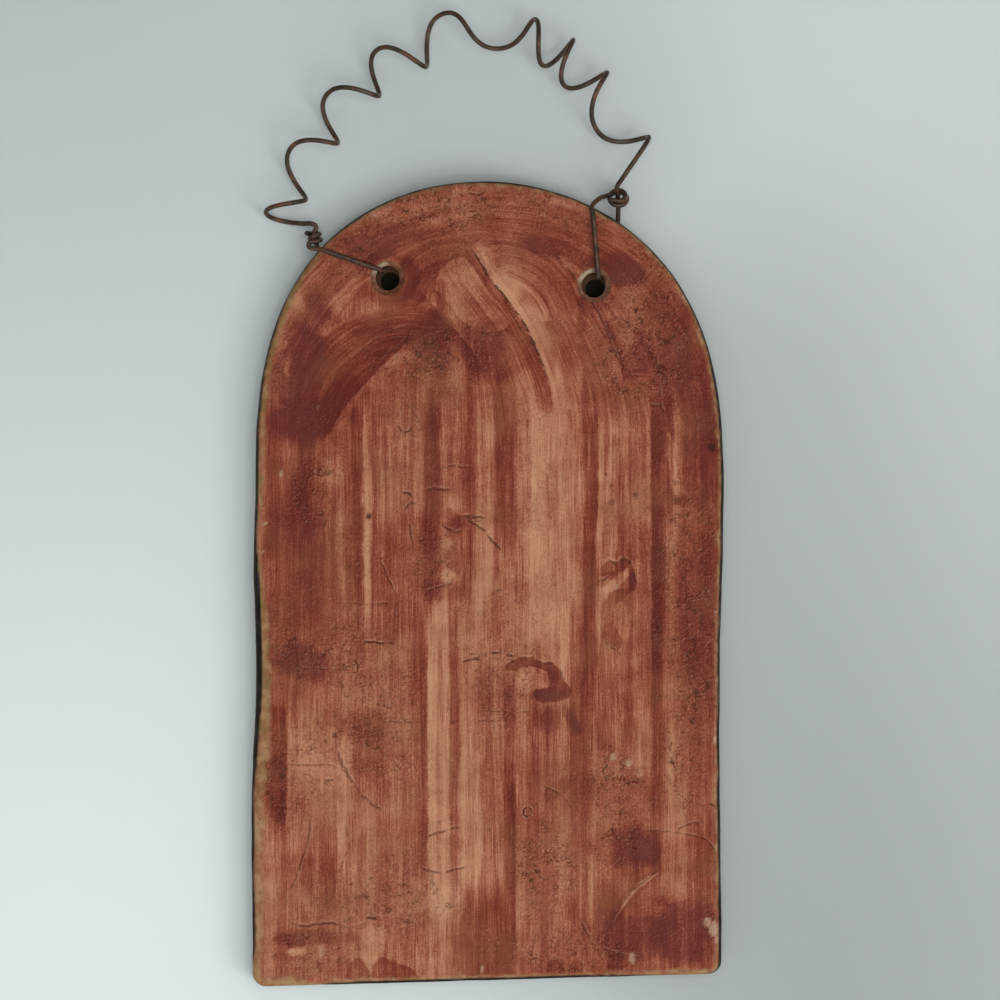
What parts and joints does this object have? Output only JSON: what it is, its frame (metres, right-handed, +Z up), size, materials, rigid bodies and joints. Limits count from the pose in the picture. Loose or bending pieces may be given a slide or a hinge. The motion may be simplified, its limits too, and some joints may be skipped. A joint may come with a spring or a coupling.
{
  "type": "decorative wall plaque",
  "caption": "Arched fired-clay wall plaque with a brushed iron-red face and a curled wire hanger tied through drilled holes.",
  "frame": {"origin": "where a nail touches the underside of the hanging wire's highest crest", "axes": "+Z up as the plaque hangs, +Y towards the wall behind it, the brushed face towards -Y, +X to the right as seen from the front"},
  "size_m": [0.1537, 0.0121, 0.3179],
  "materials": {
    "washed_clay": "matte",
    "dark_wire": "satin"
  },
  "bodies": {
    "root": {"clay_slab": "washed_clay", "hanging_wire": "dark_wire"}
  },
  "joints": []
}
